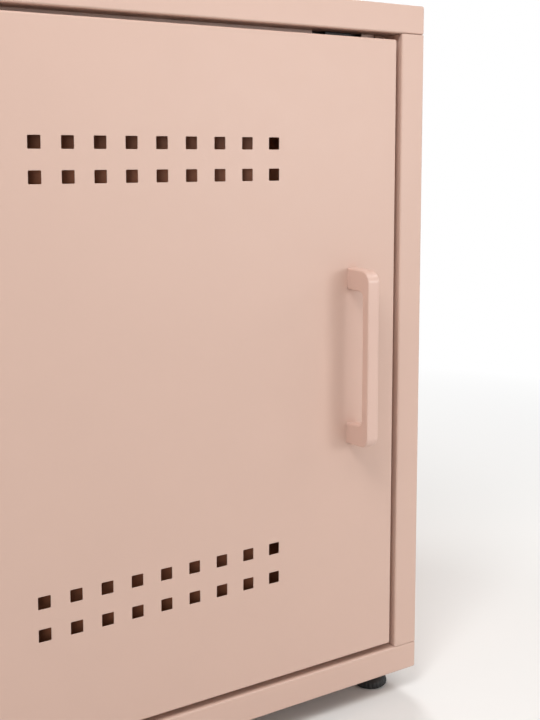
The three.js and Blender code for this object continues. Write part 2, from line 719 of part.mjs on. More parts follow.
// Upper pin: sprung upwards, and drawn down by its tail so that the door lifts out.
const collarTop = upperLugTop - lug - FIT;
{
  const pin = turned([
    [0, tailZ - 2.5],
    [PIN_RADIUS, tailZ - 2.5],
    [PIN_RADIUS, collarTop - 2.5],
    [PIN_RADIUS + 1.6, collarTop - 2.5],
    [PIN_RADIUS + 1.6, collarTop],
    [PIN_RADIUS, collarTop],
    [PIN_RADIUS, doorTop + DOOR_GAP + PIN_ENGAGEMENT - 3],
    [PIN_RADIUS - 0.8, doorTop + DOOR_GAP + PIN_ENGAGEMENT - 2],
    [0, doorTop + DOOR_GAP + PIN_ENGAGEMENT - 2],
  ]);
  const tail = barrel(0, tailZ, 0, DOOR_THICKNESS + 2 - PIVOT_INSET, 2.4, 16);
  mesh("hinge_pin_upper", join(pin, tail), zinc, door, [pinX, PIVOT_INSET, 0]);
}
{
  // Compression spring between the bracket's lower lug and the pin's collar.
  const wire = 0.6;
  const [low, high] = [springSeat + wire + FIT, collarTop - 2.5 - wire - FIT];
  const turns = 7;
  class Helix extends THREE.Curve {
    getPoint(t, target = new THREE.Vector3()) {
      const angle = t * turns * 2 * Math.PI;
      const radius = PIN_RADIUS + RUNNING + wire + 0.2;
      return target.set(radius * Math.cos(angle), radius * Math.sin(angle), low + (high - low) * t);
    }
  }
  const section = new THREE.Shape();
  section.absarc(0, 0, wire, 0, 2 * Math.PI, false);
  const coil = new THREE.ExtrudeGeometry(section, {
    steps: turns * 12,
    curveSegments: 3,
    bevelEnabled: false,
    extrudePath: new Helix(),
  });
  mesh("hinge_spring", solid(coil), spring, door, [pinX, PIVOT_INSET, 0]);
}

// Strike plate for the catch, riveted through the back flange.
{
  const plate = cut(
    box(-18, 18, 0, STRIKE_SHEET, -DOOR_RETURN / 2 + 1, DOOR_RETURN / 2 - 1),
    barrel(0, 0, -1, STRIKE_SHEET + 1, RIVET + SCREW_HOLE, 16),
  );
  mesh("strike_plate", plate, zinc, door, [strikeX, DOOR_THICKNESS + FIT / 2, strikeZ]);
  const grip = STRIKE_SHEET + 2 * DOOR_SHEET + 2.5 * FIT + 0.1;
  const rivet = turned(
    [
      [0, -0.35],
      [2, -0.35],
      [2.6, 0],
      [RIVET, 0.1],
      [RIVET, grip],
      [RIVET + 1.2, grip + 0.2],
      [RIVET + 1.2, grip + 1],
      [0, grip + 1],
    ],
    16,
  );
  const rivetHead = [strikeX, DOOR_THICKNESS + STRIKE_SHEET + FIT, strikeZ];
  mesh("strike_rivet", rivet, zinc, door, rivetHead, HEAD_BACK);
}

// ---------- handle ----------
{
  const [half, out, lean] = [HANDLE_LENGTH / 2, HANDLE_PROJECTION - FIT / 2, HANDLE_DRAFT];
  const innerFace = out - HANDLE_BAR;
  const innerBase = half - HANDLE_LEG;
  const innerTop = innerBase - lean;
  const outerTop = half - lean;
  // u runs out from the door, v along the handle.
  const bow = new THREE.Shape();
  bow.moveTo(0, -half);
  bow.lineTo(out - HANDLE_CORNER, -outerTop);
  bow.absarc(out - HANDLE_CORNER, -outerTop + HANDLE_CORNER, HANDLE_CORNER, -Math.PI / 2, 0, false);
  bow.lineTo(out, outerTop - HANDLE_CORNER);
  bow.absarc(out - HANDLE_CORNER, outerTop - HANDLE_CORNER, HANDLE_CORNER, 0, Math.PI / 2, false);
  bow.lineTo(0, half);
  bow.lineTo(0, innerBase);
  bow.lineTo(innerFace - HANDLE_INNER_CORNER, innerTop);
  bow.absarc(
    innerFace - HANDLE_INNER_CORNER,
    innerTop - HANDLE_INNER_CORNER,
    HANDLE_INNER_CORNER,
    Math.PI / 2,
    0,
    true,
  );
  bow.lineTo(innerFace, -innerTop + HANDLE_INNER_CORNER);
  bow.absarc(
    innerFace - HANDLE_INNER_CORNER,
    -innerTop + HANDLE_INNER_CORNER,
    HANDLE_INNER_CORNER,
    0,
    -Math.PI / 2,
    true,
  );
  bow.lineTo(0, -innerBase);
  const geometry = new THREE.ExtrudeGeometry(bow, {
    depth: HANDLE_WIDTH - 2 * HANDLE_EDGE,
    bevelThickness: HANDLE_EDGE,
    bevelSize: HANDLE_EDGE,
    bevelOffset: -HANDLE_EDGE,
    bevelSegments: 3,
    curveSegments: 8,
  });
  geometry.translate(0, 0, -HANDLE_WIDTH / 2 + HANDLE_EDGE);
  const axes = new THREE.Matrix4().makeBasis(
    new THREE.Vector3(0, -1, 0),
    new THREE.Vector3(0, 0, 1),
    new THREE.Vector3(-1, 0, 0),
  );
  geometry.applyMatrix4(axes);
  const depth = SCREW.length - DOOR_SHEET;
  const tapped = handleScrewZ.map((h) => barrel(0, h, -depth - 1, 1, SCREW.shank + SCREW_HOLE));
  mesh("handle", cut(solid(geometry), ...tapped), blushCast, door, [handleX, -FIT / 2, 0]);
}
handleScrewZ.forEach((z, i) => {
  const place = i ? "upper" : "lower";
  const head = [handleX, DOOR_SHEET + FIT / 2, z];
  mesh("handle_screw_" + place, screwSolid(SCREW), zinc, door, head, HEAD_BACK);
  // A plug closes each hole in the liner that the screwdriver goes through.
  const plug = turned(
    [
      [0, -1.2],
      [accessRadius + 1, -1.2],
      [accessRadius + 1.8, -0.6],
      [accessRadius + 1.8, 0],
      [accessRadius, 0],
      [accessRadius - 0.5, 2.4],
      [0, 2.4],
    ],
    24,
  );
  mesh("access_plug_" + place, plug, nylon, door, [handleX, linerBack + FIT, z], HEAD_BACK);
});

const root = new THREE.Group();
cabinet.position.y = (HANDLE_PROJECTION - BODY_DEPTH) / 2;
root.add(cabinet);

export default root;
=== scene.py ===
"""A one-door steel locker cabinet in a dusty pink powder coat, seen from the front left.

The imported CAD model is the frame. Pieces whose solids are plain stand-ins are replaced by finer
meshes made here, and every surface gets a procedural material. Lengths are in metres.
"""

import json
import math

import bmesh
import bpy
from mathutils import Matrix, Vector


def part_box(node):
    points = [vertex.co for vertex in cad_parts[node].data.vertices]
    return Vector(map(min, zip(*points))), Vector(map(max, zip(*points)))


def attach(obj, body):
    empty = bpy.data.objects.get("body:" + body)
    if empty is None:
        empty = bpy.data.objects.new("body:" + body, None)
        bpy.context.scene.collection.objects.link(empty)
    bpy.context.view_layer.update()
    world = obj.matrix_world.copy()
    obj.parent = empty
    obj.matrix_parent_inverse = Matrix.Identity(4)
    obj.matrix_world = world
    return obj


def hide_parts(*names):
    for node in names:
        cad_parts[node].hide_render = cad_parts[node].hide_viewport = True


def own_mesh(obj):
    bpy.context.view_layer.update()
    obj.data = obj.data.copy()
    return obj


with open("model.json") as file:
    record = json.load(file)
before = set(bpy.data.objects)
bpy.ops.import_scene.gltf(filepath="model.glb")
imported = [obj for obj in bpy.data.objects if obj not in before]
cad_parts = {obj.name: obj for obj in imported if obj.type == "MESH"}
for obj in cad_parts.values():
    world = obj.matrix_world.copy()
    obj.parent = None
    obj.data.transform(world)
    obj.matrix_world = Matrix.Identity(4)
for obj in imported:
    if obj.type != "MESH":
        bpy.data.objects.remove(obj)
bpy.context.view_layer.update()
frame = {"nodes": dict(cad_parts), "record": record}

scene = bpy.context.scene
MM = 0.001
Y, Z = Vector((0, 1, 0)), Vector((0, 0, 1))


# ---------- materials ----------
class Surface:
    """A Principled material with object coordinates and short helpers for its nodes."""

    def __init__(self, name, color, roughness, metallic=0.0):
        self.material = bpy.data.materials.new(name)
        self.material.use_nodes = True
        self.tree = self.material.node_tree
        self.shader = self.tree.nodes["Principled BSDF"]
        self.set("Base Color", (*color, 1.0))
        self.set("Roughness", roughness)
        self.set("Metallic", metallic)
        self.place = self.tree.nodes.new("ShaderNodeTexCoord").outputs["Object"]
        self.material.diffuse_color = (*color, 1.0)

    def set(self, socket, value):
        self.shader.inputs[socket].default_value = value

    def link(self, output, socket):
        self.tree.links.new(output, socket)

    def noise(self, size, detail):
        """Noise from 0 to 1 whose features are about this size."""
        node = self.tree.nodes.new("ShaderNodeTexNoise")
        node.inputs["Scale"].default_value = 1 / size
        node.inputs["Detail"].default_value = detail
        self.link(self.place, node.inputs["Vector"])
        return node.outputs["Fac"]

    def between(self, value, low, high, start=0.3, end=0.7):
        """The value mapped from start..end to low..high."""
        node = self.tree.nodes.new("ShaderNodeMapRange")
        for socket, number in zip(("From Min", "From Max", "To Min", "To Max"), (start, end, low, high)):
            node.inputs[socket].default_value = number
        self.link(value, node.inputs["Value"])
        return node.outputs["Result"]

    def mix(self, factor, first, second):
        """A mix of two colours. Each of the three is a node's output, or a number or colour."""
        node = self.tree.nodes.new("ShaderNodeMix")
        node.data_type = "RGBA"
        for socket, value in (("Factor", factor), ("A", first), ("B", second)):
            if isinstance(value, bpy.types.NodeSocket):
                self.link(value, node.inputs[socket])
            elif isinstance(value, tuple):
                node.inputs[socket].default_value = (*value, 1.0)
            else:
                node.inputs[socket].default_value = value
        return node.outputs["Result"]

    def paint(self, color):
        self.link(color, self.shader.inputs["Base Color"])

    def vary_roughness(self, size, detail, low, high):
        """Lets the roughness wander between two values over features of about this size."""
        self.link(self.between(self.noise(size, detail), low, high), self.shader.inputs["Roughness"])

    def bump(self, *layers):
        """Stacks (height, depth) layers into one normal."""
        normal = None
        for height, depth in layers:
            node = self.tree.nodes.new("ShaderNodeBump")
            node.inputs["Distance"].default_value = depth
            self.link(height, node.inputs["Height"])
            if normal is not None:
                self.link(normal, node.inputs["Normal"])
            normal = node.outputs["Normal"]
        self.link(normal, self.shader.inputs["Normal"])


def shade(color, factor):
    return tuple(min(1.0, c * factor) for c in color)


def powder_coat(name, color, roughness, peel, spread=0.03):
    """Baked powder paint: an orange-peel skin over fine grain, with a little change in tone."""
    s = Surface(name, color, roughness)
    tone = s.between(s.noise(90 * MM, 3), 0, 1)
    broad = s.mix(tone, shade(color, 0.985), shade(color, 1.015))
    grain = s.between(s.noise(0.5 * MM, 2), 0, 1)
    fine = s.mix(grain, shade(color, 0.965), shade(color, 1.035))
    s.paint(s.mix(0.5, broad, fine))
    s.vary_roughness(14 * MM, 4, roughness - spread, roughness + spread)
    s.bump((s.noise(2.6 * MM, 1), peel), (s.noise(0.45 * MM, 2), peel * 0.12))
    return s.material


def zinc_plate(name, color, roughness):
    """Plated or bare steel whose tone drifts between darker and faintly yellow."""
    s = Surface(name, color, roughness, 1.0)
    tint = s.between(s.noise(6 * MM, 3), 0, 1)
    yellow = (color[0] * 1.04, color[1] * 1.03, color[2] * 0.94)
    s.paint(s.mix(tint, shade(color, 0.86), yellow))
    s.vary_roughness(1.2 * MM, 4, roughness - 0.08, roughness + 0.12)
    s.bump((s.noise(0.5 * MM, 3), 0.012 * MM))
    return s.material


def moulded(name, color, roughness, grain=0.03 * MM):
    """Moulded plastic or rubber with a spark-eroded grain."""
    s = Surface(name, color, roughness)
    tone = s.between(s.noise(12 * MM, 3), 0, 1)
    s.paint(s.mix(tone, shade(color, 0.93), shade(color, 1.07)))
    s.vary_roughness(2 * MM, 3, roughness - 0.06, roughness + 0.06)
    s.bump((s.noise(0.35 * MM, 2), grain))
    return s.material


def painted_hollow_shade(coat, color):
    """A copy of a coat whose faces towards the door's hollow (-Y) are painted a dark brown: painted
    shade for the dim cavity behind the perforations.
    """
    shaded_coat = coat.copy()
    shaded_coat.name = coat.name + "_painted_hollow_shade"
    tree = shaded_coat.node_tree
    shader = tree.nodes["Principled BSDF"]
    painted = shader.inputs["Base Color"].links[0].from_socket
    split = tree.nodes.new("ShaderNodeSeparateXYZ")
    tree.links.new(tree.nodes.new("ShaderNodeTexCoord").outputs["Normal"], split.inputs["Vector"])
    shade_mask = tree.nodes.new("ShaderNodeMath")
    shade_mask.operation = "LESS_THAN"
    shade_mask.inputs[1].default_value = -0.5
    tree.links.new(split.outputs["Y"], shade_mask.inputs[0])
    mixed = tree.nodes.new("ShaderNodeMix")
    mixed.data_type = "RGBA"
    tree.links.new(shade_mask.outputs["Value"], mixed.inputs["Factor"])
    tree.links.new(painted, mixed.inputs["A"])
    mixed.inputs["B"].default_value = (*color, 1.0)
    tree.links.new(mixed.outputs["Result"], shader.inputs["Base Color"])
    shader.inputs["Specular IOR Level"].default_value = 0.15
    return shaded_coat


BLUSH = (0.64, 0.44, 0.36)
HANDLE_BLUSH = (0.68, 0.467, 0.39)
# Dark brown of the painted shade on the door liner's faces towards the hollow.
HOLLOW_SHADE_COLOR = (0.38, 0.145, 0.075)
materials = {
    "blush_powder_coat": powder_coat("blush_powder_coat", BLUSH, 0.46, 0.03 * MM),
    "handle_coat": powder_coat("handle_coat", HANDLE_BLUSH, 0.3, 0.012 * MM, 0.015),
    "zinc_plate": zinc_plate("zinc_plate", (0.62, 0.63, 0.64), 0.32),
    "spring_steel": zinc_plate("spring_steel", (0.42, 0.43, 0.44), 0.26),
    "nylon": moulded("nylon", (0.8, 0.78, 0.72), 0.45),
    "black_plastic": moulded("black_plastic", (0.02, 0.02, 0.021), 0.5),
    "rubber": moulded("rubber", (0.62, 0.6, 0.57), 0.7),
    "magnet": moulded("magnet", (0.06, 0.06, 0.065), 0.6, 0.06 * MM),
}
slot_of = {part["node"]: part["material_slot"] for part in frame["record"]["subparts"]}


# ---------- carried-over CAD nodes ----------
def soften(piece, width, limit=50):
    """Rounds a piece's sharp edges a little and evens out the shading of its flat faces."""
    edge = piece.modifiers.new("edges", "BEVEL")
    edge.width = width
    edge.segments = 2
    edge.limit_method = "ANGLE"
    edge.angle_limit = math.radians(limit)
    piece.modifiers.new("normals", "WEIGHTED_NORMAL")


EDGE_OF = {"black_plastic": 0.45 * MM, "zinc_plate": 0.2 * MM, "magnet": 0.2 * MM}
SHEET_EDGE = 0.15 * MM
for name, node in frame["nodes"].items():
    surface = slot_of[name]
    node.data.materials.clear()
    node.data.materials.append(materials[surface])
    weld = node.modifiers.new("weld", "WELD")
    weld.merge_threshold = 0.001 * MM
    flat = node.modifiers.new("flat_faces", "DECIMATE")
    flat.decimate_type = "DISSOLVE"
    flat.angle_limit = math.radians(1)
    soften(node, EDGE_OF.get(surface, SHEET_EDGE))
# Painted shade: the liner's faces towards the hollow are painted dark brown, which darkens what shows
# through the perforations.
liner_coat_painted_shade = painted_hollow_shade(materials["blush_powder_coat"], HOLLOW_SHADE_COLOR)
frame["nodes"]["door_liner"].data.materials[0] = liner_coat_painted_shade


# ---------- mesh helpers ----------
def as_mesh(name, build, outward=None):
    """Turns a build into a smooth-shaded mesh. An open sheet says which way its faces look."""
    bmesh.ops.recalc_face_normals(build, faces=build.faces)
    if outward is not None:
        build.faces.ensure_lookup_table()
        if build.faces[0].normal.dot(outward) < 0:
            bmesh.ops.reverse_faces(build, faces=build.faces)
    mesh = bpy.data.meshes.new(name)
    build.to_mesh(mesh)
    build.free()
    mesh.polygons.foreach_set("use_smooth", [True] * len(mesh.polygons))
    return mesh


def add_piece(name, mesh, surface, body, *stands_for):
    """Adds a mesh as a piece that rides on a body in place of CAD nodes."""
    piece = bpy.data.objects.new(name, mesh)
    scene.collection.objects.link(piece)
    mesh.materials.clear()
    mesh.materials.append(materials[surface])
    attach(piece, body)
    if stands_for:
        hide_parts(*stands_for)
    return piece


def carved(mesh, build, operation="DIFFERENCE"):
    """The mesh with a solid cut out of it, or with another boolean operation."""
    tool_mesh = as_mesh("tool", build)
    tool = bpy.data.objects.new("tool", tool_mesh)
    body = bpy.data.objects.new("carving", mesh)
    for part in (tool, body):
        scene.collection.objects.link(part)
    cut = body.modifiers.new("cut", "BOOLEAN")
    cut.object = tool
    cut.operation = operation
    cut.solver = "EXACT"
    result = evaluated(body)
    for part in (tool, body):
        bpy.data.objects.remove(part)
    for old in (tool_mesh, mesh):
        bpy.data.meshes.remove(old)
    return result


def block(build, low, high):
    """Adds a box between two corners."""
    size = Vector(high) - Vector(low)
    place = Matrix.Translation((Vector(high) + Vector(low)) / 2) @ Matrix.Diagonal((*size, 1))
    bmesh.ops.create_cube(build, size=1, matrix=place)


def rod(build, start, end, radius):
    """Adds a round bar between two points."""
    axis = Vector(end) - Vector(start)
    turn = axis.to_track_quat("Z", "Y").to_matrix().to_4x4()
    bmesh.ops.create_cone(
        build,
        cap_ends=True,
        segments=32,
        radius1=radius,
        radius2=radius,
        depth=axis.length,
        matrix=Matrix.Translation((Vector(start) + Vector(end)) / 2) @ turn,
    )


def loft(build, rings, hollow=False):
    """Skins a list of closed rings of points. It caps the first and last, or joins them if hollow."""
    loops = [[build.verts.new(p) for p in ring] for ring in rings]
    follow = loops[1:] + loops[:1] if hollow else loops[1:]
    for first, second in zip(loops, follow):
        count = len(first)
        for k in range(count):
            build.faces.new((first[k], first[(k + 1) % count], second[(k + 1) % count], second[k]))
    if not hollow:
        build.faces.new(reversed(loops[0]))
        build.faces.new(loops[-1])


def arc(centre, radius, start, end, steps):
    """Points on a circle between two angles in degrees."""
    angles = [math.radians(start + (end - start) * k / steps) for k in range(steps + 1)]
    return [(centre[0] + radius * math.cos(a), centre[1] + radius * math.sin(a)) for a in angles]


def around(radius_at, z, sides):
    """A ring about the Z axis whose radius depends on the angle."""
    angles = [2 * math.pi * k / sides for k in range(sides)]
    return [(radius_at(a) * math.cos(a), radius_at(a) * math.sin(a), z) for a in angles]


def turn_rings(profile, sides):
    """Rings of a solid of revolution about the Z axis from (radius, z) points in millimetres."""
    return [around(lambda a, r=radius: r * MM, z * MM, sides) for radius, z in profile]


def turned(name, profile, sides=48, hollow=False):
    """A mesh turned about the Z axis."""
    build = bmesh.new()
    loft(build, turn_rings(profile, sides), hollow)
    return as_mesh(name, build)


THREAD_DEPTH = 0.54  # of the pitch


def thread_rings(radius, pitch, low, high, sides, steps=6):
    """Rings of a helical thread about the Z axis that runs out at both ends, in millimetres."""
    depth = THREAD_DEPTH * pitch
    count = max(2, round((high - low) / pitch * steps))
    rings = []
    for k in range(count + 1):
        z = low + (high - low) * k / count
        full = min(1, k / steps, (count - k) / steps)

        def radius_at(angle, z=z, full=full):
            groove = 1 - abs(2 * ((z / pitch - angle / (2 * math.pi)) % 1) - 1)
            return (radius - depth * (1 - full * (1 - groove))) * MM

        rings.append(around(radius_at, z * MM, sides))
    return rings


def hexagon(radius, limit):
    """How far a hexagon's outline is at an angle, with corners at this radius, cut off at a limit."""
    flat = radius * math.cos(math.radians(30))

    def radius_at(angle):
        off = angle % (math.pi / 3) - math.pi / 6
        return min(flat / math.cos(math.pi / 6 - abs(off)), limit)

    return radius_at


def place_mesh(mesh, place, axis):
    """A copy of a mesh moved so that its Z axis points along an axis from a place."""
    copy = mesh.copy()
    turn = Z.rotation_difference(Vector(axis)).to_matrix().to_4x4()
    copy.transform(Matrix.Translation(place) @ turn)
    return copy


def evaluated(piece):
    """A new mesh of an object with its modifiers applied."""
    bpy.context.view_layer.update()
    return bpy.data.meshes.new_from_object(piece.evaluated_get(bpy.context.evaluated_depsgraph_get()))


def middle(node):
    """The middle of a node's box."""
    low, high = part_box(node)
    return (low + high) / 2


# ---------- door skin ----------
DOOR_SHEET = 0.8 * MM
DOOR_BEND = 1.6 * MM
DOOR_RETURN = 14 * MM  # width of the flange round the back
HOLE_PITCH = 24 * MM
HOLE_SIZE = 9.4 * MM
HOLE_CORNER = 0.7 * MM
HOLE_COLUMNS = 9
HOLE_ROWS = 2
GROUP_GAP = 300 * MM  # between the two groups of perforations, centre to centre
SCREW_HOLE = 2.35 * MM  # these three are radii
PIN_HOLE = 3.3 * MM
RIVET_HOLE = 1.95 * MM
SCREW_CELL = 6 * MM  # from a screw hole to the edge of its cell in the grid
TAIL_WINDOW_TOP = 47 * MM  # below the door's top, for the release pin's tail
TAIL_WINDOW_BOTTOM = 70 * MM
TAIL_WINDOW_HALF = 4 * MM
THROUGH = 3 * MM  # how far a cut goes past the sheet on each side

door_low, door_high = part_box("door_skin")
handle_middle = middle("handle")
pin_middle = middle("hinge_pin_lower")


def hole_outline(u, v, half, corner, steps):
    """Four quarter arcs of a rounded square, or of a circle where the corner is as large as half."""
    reach = half - corner
    corners = [(1, 1, 0), (-1, 1, 90), (-1, -1, 180), (1, -1, 270)]
    centres = [((u + a * reach, v + b * reach), turn) for a, b, turn in corners]
    return [arc(centre, corner, turn, turn + 90, steps) for centre, turn in centres]


def door_skin():
    """A tray with a flange folded round its back. Its front is a grid with holes in some cells."""
    width, depth, height = door_high - door_low
    columns = [width / 2 + (i - (HOLE_COLUMNS - 1) / 2) * HOLE_PITCH for i in range(HOLE_COLUMNS)]
    offsets = [GROUP_GAP / 2 + i * HOLE_PITCH for i in range(HOLE_ROWS)]
    rows = [height / 2 + side * offset for side in (-1, 1) for offset in offsets]
    # Each hole has its place, half cell, half width, corner radius and steps in a corner.
    holes = [(u, v, HOLE_PITCH / 2, HOLE_SIZE / 2, HOLE_CORNER, 4) for u in columns for v in rows]
    for screw in ("handle_screw_lower", "handle_screw_upper"):
        place = middle(screw) - door_low
        holes.append((place.x, place.z, SCREW_CELL, SCREW_HOLE, SCREW_HOLE, 6))

    def grid_lines(axis, end):
        lines = {round(hole[axis] + side * hole[2], 7) for hole in holes for side in (-1, 1)}
        return sorted(lines | {0.0, end})

    us, vs = grid_lines(0, width), grid_lines(1, height)
    build = bmesh.new()
    grid = [[build.verts.new((u, v, 0)) for v in vs] for u in us]
    for i in range(len(us) - 1):
        for j in range(len(vs) - 1):
            cell = [grid[i + 1][j + 1], grid[i][j + 1], grid[i][j], grid[i + 1][j]]
            inside = [h for h in holes if us[i] < h[0] < us[i + 1] and vs[j] < h[1] < vs[j + 1]]
            if not inside:
                build.faces.new(cell)
                continue
            u, v, _, half, corner, steps = inside[0]
            outline = hole_outline(u, v, half, corner, steps)
            arcs = [[build.verts.new((x, y, 0)) for x, y in points] for points in outline]
            if corner == half:  # the arcs of a round hole share their end points
                for k in range(4):
                    build.verts.remove(arcs[k][-1])
                    arcs[k][-1] = arcs[(k + 1) % 4][0]
            mid = steps // 2
            for k in range(4):
                n = (k + 1) % 4
                path = arcs[k][mid:] + arcs[n][: mid + 1]
                path = [p for q, p in enumerate(path) if q == 0 or p is not path[q - 1]]
                build.faces.new([cell[k], *path, cell[n]])
    last_u, last_v = len(us) - 1, len(vs) - 1
    ring = [(i, 0) for i in range(last_u)] + [(last_u, j) for j in range(last_v)]
    ring += [(i, last_v) for i in range(last_u, 0, -1)] + [(0, j) for j in range(last_v, 0, -1)]
    back, inner = [], []
    for i, j in ring:
        back.append(build.verts.new((us[i], vs[j], depth)))
        u = min(max(us[i], DOOR_RETURN), width - DOOR_RETURN)
        v = min(max(vs[j], DOOR_RETURN), height - DOOR_RETURN)
        inner.append(build.verts.new((u, v, depth)))
    for k, (i, j) in enumerate(ring):
        n = (k + 1) % len(ring)
        build.faces.new((grid[i][j], back[k], back[n], grid[ring[n][0]][ring[n][1]]))
        build.faces.new((back[k], inner[k], inner[n], back[n]))
    bmesh.ops.remove_doubles(build, verts=build.verts, dist=0.01 * MM)
    bmesh.ops.recalc_face_normals(build, faces=build.faces)
    folds = [e for e in build.edges if len(e.link_faces) == 2 and e.calc_face_angle(0) > 0.5]
    bmesh.ops.bevel(
        build, geom=folds, offset=DOOR_BEND, segments=6, profile=0.5, affect="EDGES", clamp_overlap=True
    )
    swap_y_and_z = Matrix(((1, 0, 0, 0), (0, 0, 1, 0), (0, 1, 0, 0), (0, 0, 0, 1)))
    build.transform(Matrix.Translation(door_low) @ swap_y_and_z)
    skin = bpy.data.objects.new("skin", as_mesh("door_skin_formed", build, -Y))
    scene.collection.objects.link(skin)
    sheet = skin.modifiers.new("sheet", "SOLIDIFY")
    sheet.thickness = DOOR_SHEET
    sheet.offset = -1
    sheet.use_even_offset = True
    mesh = evaluated(skin)
    bpy.data.objects.remove(skin)
    tool = bmesh.new()
    for z in (door_low.z, door_high.z):
        hole = Vector((pin_middle.x, pin_middle.y, z))
        rod(tool, hole - Z * THROUGH, hole + Z * THROUGH, PIN_HOLE)
    block(
        tool,
        (pin_middle.x - TAIL_WINDOW_HALF, door_high.y - THROUGH, door_high.z - TAIL_WINDOW_BOTTOM),
        (pin_middle.x + TAIL_WINDOW_HALF, door_high.y + THROUGH, door_high.z - TAIL_WINDOW_TOP),
    )
    hole = middle("strike_rivet")
    hole.y = door_high.y
    rod(tool, hole - Y * THROUGH, hole + Y * THROUGH, RIVET_HOLE)
    return carved(mesh, tool)


skin_piece = add_piece("door_skin_formed", door_skin(), "blush_powder_coat", "door", "door_skin")
soften(skin_piece, 0.2 * MM, 60)


# ---------- handle ----------
HANDLE_BAR = 8.2 * MM  # thickness of the grip
HANDLE_LEG = 17.4 * MM  # height of a leg at the door
HANDLE_DRAFT = 0.9 * MM  # how much the outside narrows from the door to the grip
HANDLE_CORNER = 9.5 * MM
HANDLE_INNER_CORNER = 5 * MM
HANDLE_EDGE = 1.5 * MM
HANDLE_STEPS = 6  # along a straight stretch
HANDLE_CORNER_STEPS = 14
HANDLE_SCREW_DEPTH = 9 * MM


def handle_bow():
    """A cast bow: rounded rectangular sections between its outer and inner outlines."""
    low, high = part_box("handle")
    half, out, wide = (high.z - low.z) / 2, high.y - low.y, (high.x - low.x) / 2
    inner_face, inner_base = out - HANDLE_BAR, half - HANDLE_LEG
    outer_top, inner_top = half - HANDLE_DRAFT, half - HANDLE_LEG - HANDLE_DRAFT

    def outline(base, top, face, corner):
        """Half an outline, from the upper leg's foot to the middle of the grip, as (out, up) points."""
        leg_end, bar_start, bar_end = (face - corner, top), (face, top - corner), (face, 0)
        leg = [Vector((0, base)).lerp(leg_end, k / HANDLE_STEPS) for k in range(HANDLE_STEPS)]
        bend = arc((face - corner, top - corner), corner, 90, 0, HANDLE_CORNER_STEPS)
        bar = [Vector(bar_start).lerp(bar_end, k / HANDLE_STEPS) for k in range(1, HANDLE_STEPS + 1)]
        return leg + bend + bar

    outer = outline(half, outer_top, out, HANDLE_CORNER)
    inner = outline(inner_base, inner_top, inner_face, HANDLE_INNER_CORNER)
    pairs = list(zip(outer, inner))
    pairs += [((o[0], -o[1]), (i[0], -i[1])) for o, i in reversed(pairs[:-1])]
    rings = []
    for o, i in pairs:
        across = Vector((i[0] - o[0], i[1] - o[1]))
        length = across.length
        across.normalize()
        reach, side = length / 2 - HANDLE_EDGE, wide - HANDLE_EDGE
        centre = Vector(((o[0] + i[0]) / 2, (o[1] + i[1]) / 2))
        ring = []
        for a, b, turn in ((1, 1, 0), (-1, 1, 90), (-1, -1, 180), (1, -1, 270)):
            for p, q in arc((a * reach, b * side), HANDLE_EDGE, turn, turn + 90, 6):
                spot = centre + across * p
                ring.append((handle_middle.x + q, high.y - spot.x, handle_middle.z + spot.y))
        rings.append(ring)
    build = bmesh.new()
    loft(build, rings)
    mesh = as_mesh("handle_bow", build)
    tool = bmesh.new()
    for screw in ("handle_screw_lower", "handle_screw_upper"):
        mouth = Vector((handle_middle.x, high.y, middle(screw).z))
        rod(tool, mouth - Y * HANDLE_SCREW_DEPTH, mouth + Y * MM, SCREW_HOLE)
    return carved(mesh, tool)


handle_piece = add_piece("handle_bow", handle_bow(), "handle_coat", "door", "handle")
soften(handle_piece, 0.12 * MM, 60)


# ---------- screws and bolts ----------
RECESS_REACH = 0.52  # of the head's radius
RECESS_HALF_WIDTH = 0.12  # of the head's radius
RECESS_TAPER = 0.66  # the floor's size over the mouth's
SCREW_SIDES = 32
TIP = 0.7  # mm from the end of the thread to the end of the screw
NECK = 0.86  # of the shank's radius, under a pan head


def cross_recess(build, head, mouth, floor):
    """A cross recess that tapers from its mouth at one level to its floor at another."""
    rings = []
    for level, share in ((mouth, 1.0), (floor, RECESS_TAPER)):
        a, b = RECESS_REACH * head * share * MM, RECESS_HALF_WIDTH * head * share * MM
        quarter = [(a, -b), (a, b), (b, b)]
        cross = []
        for _ in range(4):
            cross += quarter
            quarter = [(-y, x) for x, y in quarter]
        rings.append([(x, y, level * MM) for x, y in cross])
    loft(build, rings)


def screw(head, profile, mouth, floor, shank, start, length, pitch):
    """A screw about +Z in millimetres: a turned head with a recess, a threaded shank and a tip."""
    rings = turn_rings(profile, SCREW_SIDES)
    rings += thread_rings(shank, pitch, start, length - TIP, SCREW_SIDES)
    rings += turn_rings([(shank * 0.76, length - 0.5), (shank * 0.5, length)], SCREW_SIDES)
    build = bmesh.new()
    loft(build, rings)
    tool = bmesh.new()
    cross_recess(tool, head, mouth, floor)
    return carved(as_mesh("screw", build), tool)


def pan_screw(shank, length, head, thick, pitch):
    """Its domed head lies below z = 0."""
    angles = [math.radians(t) for t in range(84, -1, -12)]
    dome = [(head * math.cos(t), -thick * (0.3 + 0.7 * math.sin(t))) for t in angles]
    neck = shank * NECK
    profile = [(head * 0.04, -thick), *dome, (head * 0.97, 0), (neck, 0), (neck, 0.25)]
    return screw(head, profile, -thick - 1, -thick * 0.4, shank, 0.35, length, pitch)


def flat_screw(shank, length, head, sink, pitch):
    """Its flat head starts at z = 0."""
    profile = [(head * 0.96, 0), (head, 0.15), (shank * 0.9, sink)]
    return screw(head, profile, -1, sink * 0.6, shank, sink + 0.1, length, pitch)


SHARP = 38  # degrees between faces from which their edge isn't smoothed


def stand_in(suffix, node, mesh, axis, body, centre=None):
    """Puts a copy of a mesh in place of a CAD node, with its Z axis along an axis and its low end on
    the node's."""
    low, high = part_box(node)
    direction = Vector(axis)
    place = Vector(centre) if centre is not None else (low + high) / 2
    start = min(low.dot(direction), high.dot(direction)) - min(v.co.z for v in mesh.vertices)
    place += direction * (start - place.dot(direction))
    copy = place_mesh(mesh, place, direction)
    copy.set_sharp_from_angle(angle=math.radians(SHARP))
    return add_piece(node + suffix, copy, slot_of[node], body, node)


